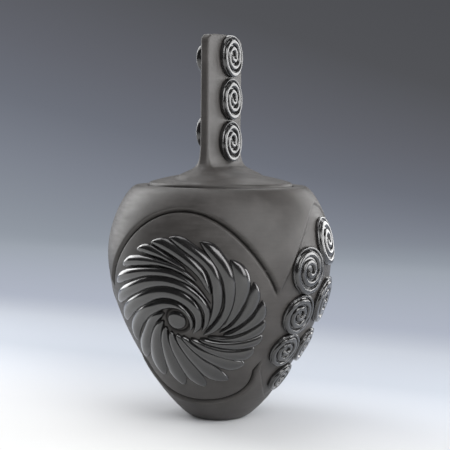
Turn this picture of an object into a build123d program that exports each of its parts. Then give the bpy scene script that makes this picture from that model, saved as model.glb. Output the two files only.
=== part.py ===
"""Lidded blackware jar of coil-built clay, with whirl medallions, spiral discs and a tall slab handle.

Units are millimetres. +Z is up, the foot stands on z = 0 and the jar's axis is the Z axis.
The front medallion faces -Y and the spiral panels face +X and -X.
"""

from build123d import *
import math
import os

os.makedirs("parts", exist_ok=True)

# Jar body
jar_height = 207.5
belly_radius = 100.6
belly_height = 141.7
foot_radius = 23.2
rim_radius = 74.5
wall_thickness = 7.0
foot_dimple_radius = 16.0
foot_dimple_depth = 1.2
base_height = 36.0

# How far each end of the wall curves runs level or upright before it bends
foot_run_share = 0.17
belly_drop_share = 0.418
belly_lift_share = 0.56
rim_run_share = 0.26

# Sunken fields of the front medallion and of the side panel, seen square on: each point is a share
# of the belly's radius across and a share of the jar's height up
field_depth = 1.8
medallion_top_shares = [(0.0, 0.925), (0.40, 0.925), (0.70, 0.73), (0.753, 0.607)]
medallion_gap_shares = [(0.753, 0.607), (0.82, 0.53), (0.67, 0.32), (0.507, 0.25)]
medallion_foot_shares = [(0.507, 0.25), (0.437, 0.135), (0.22, 0.098), (0.0, 0.098)]
panel_top_shares = [(0.0, 0.937), (0.278, 0.925), (0.547, 0.742), (0.622, 0.605)]
panel_gap_shares = [(0.622, 0.605), (0.67, 0.53), (0.537, 0.32), (0.434, 0.25)]
panel_foot_shares = [(0.434, 0.25), (0.318, 0.183), (0.14, 0.094), (0.0, 0.094)]

# Mouth, with the coil inside it that the lid sits on
mouth_clearance = 0.9
seat_width = 7.9
seat_depth = 3.5
seat_height = 9.0
seat_chamfer = 3.0

# Lid
lid_radius = 64.0
lid_edge_height = 6.0
lid_edge_round = 1.8
lid_rise = 16.5
lid_hollow_rise = 7.5
lid_shoulder_radius_share = 0.78
lid_shoulder_rise_share = 0.655
lid_crown_radius_share = 0.31
ring_clearance = 1.0
ring_width = 6.5
ring_depth = 9.5
ring_chamfer = 1.5
lid_turn = -7.0

# Handle slab, whose height counts from the lid's crown, and the flare at its root
handle_height = 119.5
handle_width = 65.0
handle_thickness = 8.0
handle_crown = 2.5
handle_corner_round = 6.0
handle_edge_round = 1.2
flare_height = 28.5
flare_spread = 26.0
flare_height_shares = [0.0, 0.245, 0.37, 0.51, 0.70, 1.0]
flare_spread_shares = [1.0, 0.72, 0.46, 0.17, 0.04, 0.0]
flare_corner = 3.5

# Whirl medallion
swirl_radius = 72.0
swirl_height_share = 0.5125
swirl_azimuth = -2.0
boss_diameter = 18.5
boss_rise = 3.2
boss_edge_height = 0.8
rib_rise = 3.4
rib_fill_share = 0.88
rib_foot_rise_share = 0.45
tip_width_share = 0.50
tip_rise_share = 0.60
tip_shoulder_share = 0.78

# Ribs counter-clockwise from the lower left: each knot gives its angle about the boss in degrees,
# then its distance from the boss and the rib's width there, as shares of the medallion's radius
rib_knots = [
    [(150, 0.18, 0.06), (178, 0.29, 0.11), (203, 0.49, 0.13), (214, 0.68, 0.17), (222, 0.91, 0.15)],
    [(184, 0.18, 0.06), (207, 0.31, 0.11), (225, 0.52, 0.17), (236, 0.73, 0.20), (245, 0.93, 0.17)],
    [(210, 0.18, 0.06), (232, 0.33, 0.10), (248, 0.54, 0.15), (257, 0.75, 0.19), (263, 0.97, 0.17)],
    [(236, 0.18, 0.06), (255, 0.35, 0.11), (267, 0.56, 0.15), (274, 0.77, 0.18), (279, 0.98, 0.17)],
    [(261, 0.18, 0.06), (276, 0.35, 0.10), (286, 0.59, 0.15), (292, 0.80, 0.20), (298, 0.97, 0.17)],
    [(281, 0.20, 0.05), (294, 0.38, 0.09), (304, 0.60, 0.15), (311, 0.78, 0.18), (320, 0.93, 0.15)],
    [(301, 0.26, 0.05), (311, 0.46, 0.09), (319, 0.67, 0.13), (326, 0.82, 0.15), (335, 0.97, 0.13)],
    [(317, 0.33, 0.05), (326, 0.52, 0.08), (335, 0.74, 0.11), (341, 0.88, 0.11), (347, 1.03, 0.11)],
    [(330, 0.39, 0.04), (338, 0.58, 0.06), (346, 0.79, 0.11), (352, 0.92, 0.12), (359, 1.07, 0.11)],
    [(342, 0.55, 0.03), (349, 0.67, 0.07), (357, 0.83, 0.11), (363, 0.96, 0.13), (372, 1.11, 0.12)],
    [(344, 0.50, 0.02), (353, 0.60, 0.05), (361, 0.72, 0.09), (372, 0.90, 0.13), (385, 1.10, 0.12)],
    [(350, 0.50, 0.03), (362, 0.61, 0.07), (375, 0.75, 0.11), (388, 0.91, 0.17), (406, 1.06, 0.15)],
    [(330, 0.34, 0.04), (350, 0.44, 0.08), (373, 0.62, 0.09), (397, 0.82, 0.14), (430, 1.04, 0.13)],
    [(348, 0.35, 0.04), (362, 0.41, 0.06), (381, 0.53, 0.10), (410, 0.75, 0.12), (452, 1.02, 0.12)],
    [(398, 0.56, 0.04), (420, 0.67, 0.10), (440, 0.77, 0.12), (455, 0.88, 0.13), (467, 1.00, 0.12)],
    [(436, 0.64, 0.03), (447, 0.69, 0.05), (460, 0.78, 0.08), (470, 0.87, 0.11), (481, 1.00, 0.11)],
    [(420, 0.57, 0.03), (440, 0.62, 0.06), (462, 0.695, 0.07), (480, 0.80, 0.11), (500, 1.02, 0.12)],
    [(388, 0.49, 0.02), (420, 0.51, 0.05), (450, 0.56, 0.09), (480, 0.66, 0.10), (502, 0.83, 0.13),
     (516, 1.05, 0.12)],
    [(352, 0.33, 0.02), (380, 0.40, 0.08), (420, 0.43, 0.09), (455, 0.47, 0.11), (485, 0.55, 0.13),
     (510, 0.70, 0.15), (530, 1.03, 0.15)],
    [(345, 0.25, 0.05), (380, 0.28, 0.11), (420, 0.30, 0.13), (455, 0.335, 0.13), (485, 0.395, 0.13),
     (510, 0.49, 0.15), (528, 0.66, 0.16), (543, 0.94, 0.16)],
    [(350, 0.19, 0.03), (371, 0.18, 0.045), (392, 0.178, 0.05), (420, 0.187, 0.06),
     (455, 0.205, 0.09), (485, 0.24, 0.11), (510, 0.30, 0.13), (530, 0.43, 0.15), (547, 0.61, 0.16),
     (563, 0.86, 0.15)],
]

# Spiral discs of a side panel: azimuth in degrees from the front, height along the wall as a share
# of its length from foot to rim, and diameter as a share of the largest disc, which takes its size
# from the room that the belly and the wall's length leave it
disc_belly_share = 0.4175
disc_wall_share = 0.146
disc_rise = 4.6
groove_pitch_share = 0.172
groove_width_share = 0.052
groove_half_turns = 4
groove_depth = 2.4
panel_discs = [
    (90.0, 0.779, 1.00),
    (69.0, 0.684, 0.96),
    (66.5, 0.524, 0.85),
    (65.5, 0.380, 0.77),
    (92.0, 0.559, 0.98),
    (90.0, 0.378, 0.76),
    (79.5, 0.243, 0.66),
]

# Spiral discs of the handle: height of the centre as a share of the handle's free height, distance
# from the middle of the slab towards the back as a share of its width, and diameter as a share of
# the largest disc, three of which fill the handle's height
handle_disc_share = 0.301
handle_disc_rise = 5.6
right_handle_discs = [(0.845, 0.11, 1.0), (0.530, 0.11, 1.0), (0.215, 0.11, 1.0)]
left_handle_discs = [(0.820, -0.28, 0.70), (0.535, 0.05, 0.94), (0.285, -0.24, 0.82)]

# How far the carver's cuts overrun the clay
overrun = 12.0


def lower_wall_points(shift):
    """Control points of the wall's curve from foot to belly, moved outwards by this shift."""
    radius = belly_radius + shift
    return [
        (foot_radius, -shift),
        (foot_radius + foot_run_share * (radius - foot_radius), -shift),
        (radius, belly_height - belly_drop_share * (belly_height + shift)),
        (radius, belly_height),
    ]


def upper_wall_points(shift):
    """Control points of the wall's curve from belly to rim, moved outwards by this shift."""
    radius = belly_radius + shift
    return [
        (radius, belly_height),
        (radius, belly_height + belly_lift_share * (jar_height + shift - belly_height)),
        (rim_radius + rim_run_share * (radius - rim_radius), jar_height + shift),
        (rim_radius, jar_height + shift),
    ]


def turned_body(shift):
    """The solid of revolution whose wall lies outside the jar's own wall by about this shift."""
    with BuildPart() as body:
        with BuildSketch(Plane.XZ):
            with BuildLine():
                lower = Bezier(*lower_wall_points(shift))
                upper = Bezier(*upper_wall_points(shift))
                Polyline(upper @ 1, (0, jar_height + shift), (0, -shift), lower @ 0)
            make_face()
        revolve(axis=Axis.Z)
    return body.part


# The outer line of the wall, from the foot out to the belly and up to the rim
with BuildLine(Plane.XZ) as wall_curves:
    Bezier(*lower_wall_points(0))
    Bezier(*upper_wall_points(0))
wall_line = wall_curves.wire()
disc_diameter = min(disc_belly_share * belly_radius, disc_wall_share * wall_line.length)


def wall_plane(azimuth, height_share, sink):
    """The plane that touches the wall at an azimuth in degrees and a share of the wall's length."""
    point = wall_line @ height_share
    slope = wall_line % height_share
    turn = math.radians(azimuth)
    outward = Vector(slope.Z * math.sin(turn), -slope.Z * math.cos(turn), -slope.X)
    origin = Vector(point.X * math.sin(turn), -point.X * math.cos(turn), point.Z) - outward * sink
    return Plane(origin=origin, x_dir=(math.cos(turn), math.sin(turn), 0), z_dir=outward)


def finish(shape, name):
    """Label a finished piece and write its file."""
    shape.label = name
    export_step(shape, f"parts/{name}.step")


def field_points(shares):
    """Points of a field's outline at their real size."""
    return [(across * belly_radius, up * jar_height) for across, up in shares]


def field_outline(top_shares, gap_shares, foot_shares):
    """The closed outline of a sunken field, the same on both sides of its middle."""
    with BuildSketch() as outline:
        with BuildLine():
            Bezier(*field_points(top_shares))
            Polyline(*field_points(gap_shares))
            Bezier(*field_points(foot_shares))
            mirror(about=Plane.YZ)
        make_face()
    return outline.sketch


jar_blank = turned_body(0)
wall_core = turned_body(-field_depth)
cavity = turned_body(-wall_thickness)

seat_level = jar_height - seat_depth
bore_radius = lid_radius + mouth_clearance
mouth_radius = bore_radius - seat_width
medallion_outline = field_outline(medallion_top_shares, medallion_gap_shares, medallion_foot_shares)
panel_outline = field_outline(panel_top_shares, panel_gap_shares, panel_foot_shares)

# What the carver takes away to sink the four fields
with BuildPart() as field_waste:
    with BuildSketch(Plane.XZ):
        add(medallion_outline)
    extrude(amount=belly_radius + overrun, both=True)
    with BuildSketch(Plane.YZ):
        add(panel_outline)
    extrude(amount=belly_radius + overrun, both=True)
    add(wall_core, mode=Mode.SUBTRACT)

# The whole hollow wall, open at the mouth
with BuildPart() as jar_wall:
    add(jar_blank)
    add(cavity, mode=Mode.SUBTRACT)
    with BuildSketch(Plane.XY.offset(jar_height)):
        Circle(bore_radius)
    extrude(amount=-(wall_thickness + overrun), mode=Mode.SUBTRACT)
    with BuildSketch(Plane.XZ):
        with BuildLine():
            dimple = Bezier(
                (foot_dimple_radius, 0), (foot_dimple_radius / 2, foot_dimple_depth), (0, foot_dimple_depth)
            )
            Polyline(dimple @ 1, (0, 0), dimple @ 0)
        make_face()
    revolve(axis=Axis.Z, mode=Mode.SUBTRACT)
    add(field_waste.part, mode=Mode.SUBTRACT)

# The three stages in which the wall is built: pressed base, coils up to the belly, and shoulder
with BuildPart() as jar_base:
    add(jar_wall.part)
    split(bisect_by=Plane.XY.offset(base_height), keep=Keep.BOTTOM)
finish(jar_base.part, "jar_base")

with BuildPart() as jar_lower_wall:
    add(jar_wall.part)
    split(bisect_by=Plane.XY.offset(base_height), keep=Keep.TOP)
    split(bisect_by=Plane.XY.offset(belly_height), keep=Keep.BOTTOM)
finish(jar_lower_wall.part, "jar_lower_wall")

with BuildPart() as jar_shoulder:
    add(jar_wall.part)
    split(bisect_by=Plane.XY.offset(belly_height), keep=Keep.TOP)
finish(jar_shoulder.part, "jar_shoulder")

# Coil pressed into the mouth, on whose flat top the lid sits
with BuildPart() as lid_seat:
    with BuildSketch(Plane.XY.offset(seat_level)):
        Circle(bore_radius)
        Circle(mouth_radius, mode=Mode.SUBTRACT)
    extrude(amount=-seat_height)
    chamfer(lid_seat.edges().group_by(Axis.Z)[0].sort_by(SortBy.RADIUS)[0], seat_chamfer)
finish(lid_seat.part, "lid_seat")


def spiral_outline(diameter):
    """A coil's outer edge: two half circles, the second smaller, and the blunt end of its tail."""
    pitch = groove_pitch_share * diameter
    with BuildSketch() as outline:
        with BuildLine():
            left_arc = CenterArc((0, -pitch / 4), diameter / 2, -90, -180)
            right_arc = CenterArc((0, pitch / 4), (diameter - pitch) / 2, 90, -180)
            Line(right_arc @ 1, left_arc @ 0)
        make_face()
    return outline.sketch


def spiral_groove(diameter):
    """The groove between a coil's turns, made of half circles about two centres in turn."""
    pitch = groove_pitch_share * diameter
    width = groove_width_share * diameter
    with BuildSketch() as groove:
        with BuildLine():
            for half_turn in range(groove_half_turns):
                side = -1 if half_turn % 2 == 0 else 1
                centre = (0, side * pitch / 4)
                radius = diameter / 2 - pitch - half_turn * pitch / 2
                outer_arc = CenterArc(centre, radius + width, side * 90, -180)
                inner_arc = CenterArc(centre, radius, side * 90, -180)
                if half_turn == 0:
                    Line(outer_arc @ 0, inner_arc @ 0)
            Line(outer_arc @ 1, inner_arc @ 1)
        make_face()
    return groove.sketch


# Smooth bodies that the discs' tops and the floors of their grooves follow
disc_top_body = turned_body(disc_rise - field_depth)
disc_groove_body = turned_body(disc_rise - field_depth - groove_depth)


def wall_disc(azimuth, height_share, diameter, name):
    """A spiral disc that lies on the sunken wall."""
    seat = wall_plane(azimuth, height_share, field_depth)
    with BuildPart() as groove_waste:
        with BuildSketch(seat):
            add(spiral_groove(diameter))
        extrude(amount=disc_rise + overrun, both=True)
        add(disc_groove_body, mode=Mode.SUBTRACT)
    with BuildPart() as disc:
        with BuildSketch(seat):
            add(spiral_outline(diameter))
        extrude(amount=disc_rise + overrun, both=True)
        add(disc_top_body, mode=Mode.INTERSECT)
        add(wall_core, mode=Mode.SUBTRACT)
        add(groove_waste.part, mode=Mode.SUBTRACT)
    finish(disc.part, name)
    return disc.part


for number, (azimuth, height_share, size_share) in enumerate(panel_discs, start=1):
    right_disc = wall_disc(azimuth, height_share, size_share * disc_diameter, f"right_spiral_{number}")
    finish(right_disc.rotate(Axis.Z, 180), f"left_spiral_{number}")


def rib_point(angle, distance_share):
    """A point of the whirl laid flat: millimetres across and along the wall from the boss."""
    distance = distance_share * swirl_radius
    return distance * math.cos(math.radians(angle)), distance * math.sin(math.radians(angle))


def swirl_plane(across, along):
    """The plane on the sunken wall at a point of the whirl laid flat."""
    height_share = swirl_height_share + along / wall_line.length
    azimuth = swirl_azimuth + math.degrees(across / (wall_line @ height_share).X)
    return wall_plane(azimuth, height_share, field_depth)


def rib_section(point, heading, width, rise):
    """An ellipse across the rib, standing square on the wall at a point of the whirl."""
    seat = swirl_plane(*point)
    along_rib = (seat.x_dir * heading[0] + seat.y_dir * heading[1]).normalized()
    across_rib = seat.z_dir.cross(along_rib)
    with BuildSketch(Plane(origin=seat.origin, x_dir=across_rib, z_dir=along_rib)) as section:
        Ellipse(width / 2, rise)
    return section.sketch


def swirl_rib(knots):
    """A round-backed rib that starts low beside the boss and swells to a club-shaped tip."""
    points = [rib_point(angle, distance_share) for angle, distance_share, _ in knots]
    widths = [width_share * swirl_radius * rib_fill_share for _, _, width_share in knots]
    last = len(knots) - 1
    with BuildPart() as rib:
        for index, point in enumerate(points):
            before = points[max(index - 1, 0)]
            after = points[min(index + 1, last)]
            heading = (after[0] - before[0], after[1] - before[1])
            width = widths[index]
            rise = rib_rise
            if index == 0:
                rise = rib_rise * rib_foot_rise_share
            if index == last:
                shoulder = (
                    before[0] + heading[0] * tip_shoulder_share,
                    before[1] + heading[1] * tip_shoulder_share,
                )
                add(rib_section(shoulder, heading, width, rib_rise))
                width = width * tip_width_share
                rise = rib_rise * tip_rise_share
            add(rib_section(point, heading, width, rise))
        loft()
        add(wall_core, mode=Mode.SUBTRACT)
    return rib.part


# Low round boss at the middle of each whirl
with BuildPart() as front_boss:
    with BuildSketch(swirl_plane(0, 0)):
        Circle(boss_diameter / 2)
    extrude(amount=boss_rise)
    fillet(front_boss.faces().sort_by(Axis.Y)[0].edges(), boss_rise - boss_edge_height)
    add(wall_core, mode=Mode.SUBTRACT)
finish(front_boss.part, "front_swirl_boss")
finish(front_boss.part.rotate(Axis.Z, 180), "back_swirl_boss")

# The ribs of each whirl, as one group of separate solids
front_ribs = Compound(children=[swirl_rib(knots) for knots in rib_knots])
finish(front_ribs, "front_swirl_ribs")
finish(front_ribs.rotate(Axis.Z, 180), "back_swirl_ribs")

# The lid's outer shape, still filled underneath
with BuildPart() as lid_blank:
    with BuildSketch(Plane.XZ):
        with BuildLine():
            edge_top = (lid_radius, seat_level + lid_edge_height)
            crown = Bezier(
                edge_top,
                (lid_radius * lid_shoulder_radius_share, seat_level + lid_rise * lid_shoulder_rise_share),
                (lid_radius * lid_crown_radius_share, seat_level + lid_rise),
                (0, seat_level + lid_rise),
            )
            Polyline(crown @ 1, (0, seat_level), (lid_radius, seat_level), edge_top)
        make_face()
    revolve(axis=Axis.Z)
    fillet(lid_blank.edges().filter_by(GeomType.CIRCLE).sort_by(SortBy.RADIUS)[-2:], lid_edge_round)

# Domed cap of the lid, hollowed a little inside its ring
ring_outer_radius = mouth_radius - ring_clearance
ring_inner_radius = ring_outer_radius - ring_width
with BuildPart() as lid_cap:
    add(lid_blank.part)
    with BuildSketch(Plane.XZ):
        with BuildLine():
            hollow = Bezier(
                (ring_inner_radius, seat_level),
                (ring_inner_radius / 2, seat_level + lid_hollow_rise),
                (0, seat_level + lid_hollow_rise),
            )
            Polyline(hollow @ 1, (0, seat_level), hollow @ 0)
        make_face()
    revolve(axis=Axis.Z, mode=Mode.SUBTRACT)
finish(lid_cap.part, "lid_cap")

# Ring under the cap that drops inside the seat and keeps the lid in place
with BuildPart() as lid_ring:
    with BuildSketch(Plane.XY.offset(seat_level)):
        Circle(ring_outer_radius)
        Circle(ring_inner_radius, mode=Mode.SUBTRACT)
    extrude(amount=-ring_depth)
    chamfer(lid_ring.edges().group_by(Axis.Z)[0], ring_chamfer)
finish(lid_ring.part, "lid_locating_ring")

# Directions of the turned handle: out of its right face, and along its width towards the back
turn = math.radians(lid_turn)
face_direction = (math.cos(turn), math.sin(turn), 0)
width_direction = (-math.sin(turn), math.cos(turn), 0)

lid_crown_level = seat_level + lid_rise
handle_top = lid_crown_level + handle_height
handle_disc_diameter = handle_disc_share * handle_height

# Tall slab handle that spreads into the cap at its root
with BuildPart() as lid_handle:
    with BuildSketch(Plane(origin=(0, 0, 0), x_dir=width_direction, z_dir=face_direction)):
        with BuildLine():
            top_edge = ThreePointArc(
                (-handle_width / 2, handle_top - handle_crown),
                (0, handle_top),
                (handle_width / 2, handle_top - handle_crown),
            )
            Polyline(
                top_edge @ 1,
                (handle_width / 2, seat_level + lid_edge_height),
                (-handle_width / 2, seat_level + lid_edge_height),
                top_edge @ 0,
            )
        handle_face = make_face()
        fillet(handle_face.vertices().group_by(Axis.Y)[-1], handle_corner_round)
    extrude(amount=handle_thickness / 2, both=True)
    faces_across = lid_handle.faces().sort_by(Axis((0, 0, 0), face_direction))
    fillet(faces_across[0].edges() + faces_across[-1].edges(), handle_edge_round)
    flare_base = Plane(
        origin=(0, 0, seat_level + lid_edge_height), x_dir=face_direction, z_dir=(0, 0, 1)
    )
    for height_share, spread_share in zip(flare_height_shares, flare_spread_shares):
        spread = flare_spread * spread_share
        with BuildSketch(flare_base.offset(flare_height * height_share)):
            RectangleRounded(
                handle_thickness + 2 * spread, handle_width + 2 * spread, flare_corner + spread
            )
    loft()
    add(lid_blank.part, mode=Mode.SUBTRACT)
finish(lid_handle.part, "lid_handle")


def handle_disc(side, height_share, back_share, size_share, name):
    """A flat-faced spiral disc on one side of the handle."""
    diameter = handle_disc_diameter * size_share
    centre = (
        Vector(*face_direction) * (side * handle_thickness / 2)
        + Vector(*width_direction) * (back_share * handle_width)
        + Vector(0, 0, lid_crown_level + height_share * handle_height)
    )
    seat = Plane(
        origin=centre, x_dir=Vector(*width_direction) * side, z_dir=Vector(*face_direction) * side
    )
    with BuildPart() as disc:
        with BuildSketch(seat):
            add(spiral_outline(diameter))
        extrude(amount=handle_disc_rise)
        with BuildSketch(seat.offset(handle_disc_rise - groove_depth)):
            add(spiral_groove(diameter))
        extrude(amount=overrun, mode=Mode.SUBTRACT)
        add(lid_handle.part, mode=Mode.SUBTRACT)
    finish(disc.part, name)


for number, (height_share, back_share, size_share) in enumerate(right_handle_discs, start=1):
    handle_disc(1, height_share, back_share, size_share, f"handle_right_spiral_{number}")

for number, (height_share, back_share, size_share) in enumerate(left_handle_discs, start=1):
    handle_disc(-1, height_share, back_share, size_share, f"handle_left_spiral_{number}")
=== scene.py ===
# %% [markdown]
# # A carved blackware jar with a drop-in lid
#
# The real jar is built up from coils of clay, scraped smooth, carved while it is leather hard,
# rubbed with a stone and fired black in smoke. Two finishes show: the wall and the lid have a
# soft satin look, and the carved ribs and coils are burnished until they shine.
#
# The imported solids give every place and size. This lesson dresses them: it works out finer
# surfaces with numpy for what is carved, and gives each clay surface a procedural finish.

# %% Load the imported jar
import math

import bmesh
import bpy
import numpy as np
from mathutils import Matrix, Vector


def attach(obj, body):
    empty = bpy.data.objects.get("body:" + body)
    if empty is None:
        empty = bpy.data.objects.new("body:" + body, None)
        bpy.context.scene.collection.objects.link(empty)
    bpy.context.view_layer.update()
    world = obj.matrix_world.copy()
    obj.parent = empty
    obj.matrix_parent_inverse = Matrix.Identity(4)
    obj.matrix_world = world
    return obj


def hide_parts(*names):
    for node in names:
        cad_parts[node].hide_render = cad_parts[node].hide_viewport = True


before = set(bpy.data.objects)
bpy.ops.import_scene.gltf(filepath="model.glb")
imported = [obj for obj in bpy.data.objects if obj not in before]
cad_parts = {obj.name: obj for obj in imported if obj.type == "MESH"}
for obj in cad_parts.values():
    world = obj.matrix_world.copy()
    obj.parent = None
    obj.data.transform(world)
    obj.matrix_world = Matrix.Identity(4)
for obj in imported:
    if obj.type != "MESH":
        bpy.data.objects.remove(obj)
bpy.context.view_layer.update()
MM = 0.001

# %% [markdown]
# ## The wall as a line and a turn
#
# A coil-built jar is nearly a turned shape, so one line from foot to rim describes its wall. The
# line is two Bezier curves that meet at the belly. Everything carved on the wall is then laid
# out on two numbers: the azimuth round the jar, and the distance along the line from the foot.

# %% The wall's line from foot to rim
# All sizes are millimetres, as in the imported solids
JAR_HEIGHT = 207.5
BELLY_RADIUS = 100.6
BELLY_HEIGHT = 141.7
FOOT_RADIUS = 23.2
RIM_RADIUS = 74.5
WALL_THICKNESS = 7.0
# How far the line keeps its direction at the foot, under and over the belly, and at the rim, as
# shares of the width or height that it still has to go
FOOT_REACH, UNDER_REACH, OVER_REACH, RIM_REACH = 0.17, 0.418, 0.56, 0.26


def bezier(points, count):
    """Points of a cubic Bezier: the four corners weighted by (1-t)^3, 3t(1-t)^2, 3t^2(1-t), t^3."""
    t = np.linspace(0.0, 1.0, count)[:, None]
    corners = np.asarray(points, float)
    return ((1 - t) ** 3 * corners[0] + 3 * t * (1 - t) ** 2 * corners[1]
            + 3 * t ** 2 * (1 - t) * corners[2] + t ** 3 * corners[3])


def wall_curve(shift, count=1201):
    """Radius and height along the wall from foot to rim, moved outwards by shift millimetres."""
    belly = BELLY_RADIUS + shift
    top = JAR_HEIGHT + shift
    lower = bezier([(FOOT_RADIUS, -shift),
                    (FOOT_RADIUS + FOOT_REACH * (belly - FOOT_RADIUS), -shift),
                    (belly, BELLY_HEIGHT - UNDER_REACH * (BELLY_HEIGHT + shift)),
                    (belly, BELLY_HEIGHT)], count)
    upper = bezier([(belly, BELLY_HEIGHT),
                    (belly, BELLY_HEIGHT + OVER_REACH * (top - BELLY_HEIGHT)),
                    (RIM_RADIUS + RIM_REACH * (belly - RIM_RADIUS), top),
                    (RIM_RADIUS, top)], count)
    return np.vstack([lower, upper[1:]])


def run_length(points):
    """Distance travelled along a row of points, starting at zero."""
    steps = np.linalg.norm(np.diff(points, axis=0), axis=1)
    return np.concatenate([[0.0], np.cumsum(steps)])


line = wall_curve(0.0)
line_run = run_length(line)
WALL_LENGTH = line_run[-1]
print("wall line", round(WALL_LENGTH, 1), "mm")


# %% Any point on or beside the wall
SLOPE_STEP = 0.4


def line_at(run):
    """Radius and height at a distance along the wall."""
    return np.interp(run, line_run, line[:, 0]), np.interp(run, line_run, line[:, 1])


def wall_at(run):
    """Radius, height and the line's direction at a distance along the wall. The direction is
    that from a point just behind to one just ahead."""
    radius, height = line_at(run)
    ahead = line_at(np.clip(run + SLOPE_STEP, 0, WALL_LENGTH))
    behind = line_at(np.clip(run - SLOPE_STEP, 0, WALL_LENGTH))
    d_radius, d_height = ahead[0] - behind[0], ahead[1] - behind[1]
    size = np.hypot(d_radius, d_height)
    return radius, height, d_radius / size, d_height / size


def on_wall(azimuth, run, lift):
    """The point at an azimuth in radians from the front and a run along the wall, lifted off the
    wall along its outward normal, which is the line's direction turned a quarter turn."""
    radius, height, d_radius, d_height = wall_at(run)
    out = radius + lift * d_height
    return np.stack(np.broadcast_arrays(out * np.sin(azimuth), -out * np.cos(azimuth),
                                        height - lift * d_radius), -1)


# Points compared at once, to keep the arrays small, with every so many of the line's
CHUNK, STRIDE = 4000, 4


def nearest_run(points):
    """The run along the wall of the line's point nearest to each point, by azimuth plane."""
    flat = points.reshape(-1, 3)
    radius = np.hypot(flat[:, 0], flat[:, 1])
    coarse = line[::STRIDE]
    runs = np.empty(len(flat))
    for start in range(0, len(flat), CHUNK):
        part = slice(start, start + CHUNK)
        gap = ((radius[part, None] - coarse[None, :, 0]) ** 2
               + (flat[part, 2, None] - coarse[None, :, 1]) ** 2)
        runs[part] = line_run[::STRIDE][gap.argmin(1)]
    return runs.reshape(points.shape[:-1])


def settle(points, lift):
    """Points near the wall, dropped on it and then lifted off it by lift."""
    azimuth = np.arctan2(points[..., 0], -points[..., 1])
    return on_wall(azimuth, nearest_run(points), lift)


# %% [markdown]
# ## From arrays to meshes
#
# A shape here is a grid of points, so its faces follow from counting rows and columns. Grids
# that close on themselves join the last column to the first, and a row that shrinks to one
# point is welded into a pole. The sign of the enclosed volume says whether the faces point out.

# %% Grid faces that point outwards
def grid_faces(rows, columns, wrap):
    """Four corner numbers for each cell of a grid whose points are counted row by row."""
    row = np.arange(rows - 1)[:, None]
    column = np.arange(columns if wrap else columns - 1)[None, :]
    beside = (column + 1) % columns
    corners = [row * columns + column, row * columns + beside,
               (row + 1) * columns + beside, (row + 1) * columns + column]
    return np.stack(np.broadcast_arrays(*corners), -1).reshape(-1, 4)


def enclosed_volume(points, faces):
    """Volume of the tetrahedra from the origin to each face, positive when faces point out."""
    a, b, c, d = (points[faces[:, k]] for k in range(4))
    return (np.einsum("ij,ij->i", a, np.cross(b, c)).sum()
            + np.einsum("ij,ij->i", a, np.cross(c, d)).sum()) / 6.0


def closed_grid(grid):
    """A grid as points and outward faces. The grid's ends have to close by themselves."""
    rows, columns = grid.shape[:2]
    points = grid.reshape(-1, 3)
    faces = grid_faces(rows, columns, True)
    if enclosed_volume(points, faces) < 0:
        faces = faces[:, ::-1]
    return points, faces


# %% One welded, smooth piece from several grids
# In metres: points this close are welded, and edges this short are dissolved
WELD_DISTANCE = 0.000002
SLIVER_LENGTH = 0.0000005


def scene_object(name, data):
    """A new object in the scene, at the origin."""
    made = bpy.data.objects.new(name, data)
    bpy.context.scene.collection.objects.link(made)
    return made


def welded_mesh(name, grids, materials, material_rows):
    """One smooth mesh from several grids in millimetres, with each face's material number."""
    offsets = np.cumsum([0] + [len(points) for points, _ in grids[:-1]])
    points = np.vstack([points for points, _ in grids]) * MM
    faces = np.vstack([faces + offset for (_, faces), offset in zip(grids, offsets)])
    mesh = bpy.data.meshes.new(name)
    mesh.vertices.add(len(points))
    mesh.vertices.foreach_set("co", points.ravel())
    mesh.loops.add(faces.size)
    mesh.loops.foreach_set("vertex_index", faces.ravel().astype(np.int32))
    mesh.polygons.add(len(faces))
    mesh.polygons.foreach_set("loop_start", np.arange(0, faces.size, 4, dtype=np.int32))
    for material in materials:
        mesh.materials.append(material)
    if material_rows is not None:
        mesh.polygons.foreach_set("material_index", material_rows.astype(np.int32))
    mesh.update(calc_edges=True)
    mesh.validate()
    shaper = bmesh.new()
    shaper.from_mesh(mesh)
    bmesh.ops.remove_doubles(shaper, verts=shaper.verts, dist=WELD_DISTANCE)
    bmesh.ops.dissolve_degenerate(shaper, edges=shaper.edges, dist=SLIVER_LENGTH)
    shaper.to_mesh(mesh)
    shaper.free()
    mesh.polygons.foreach_set("use_smooth", np.ones(len(mesh.polygons), bool))
    mesh.update()
    return mesh


def clay_piece(name, grids, materials, body, nodes, material_rows=None):
    """One Blender object from several grids, riding a body in the place of solid nodes."""
    mesh = welded_mesh(name, grids, materials, material_rows)
    piece = scene_object(name, mesh)
    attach(piece, body)
    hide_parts(*nodes)
    triangles = sum(len(polygon.vertices) - 2 for polygon in mesh.polygons)
    print(name, triangles, "triangles")
    return piece


# %% [markdown]
# ## Smoked clay, satin and burnished
#
# The black is carbon that the smoke drives into the clay, so there is no paint or glaze: the
# colour is a very dark warm grey all through. What changes is the polish. Rubbing with a smooth
# stone lays the clay's flat particles down and leaves small facets, which break up the sheen.
# The satin clay was only wiped, so it stays rougher and a little browner. Painted images would
# have to be unwrapped onto every piece. Noise on Object coordinates needs none of that, and its
# scales are sizes on the real clay.

# %% Colours and a node helper
def linear(hex_colour):
    """An sRGB hex colour as linear red, green, blue and alpha."""
    parts = [int(hex_colour[k:k + 2], 16) / 255 for k in (1, 3, 5)]
    return [v / 12.92 if v <= 0.04045 else ((v + 0.055) / 1.055) ** 2.4 for v in parts] + [1.0]


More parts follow.
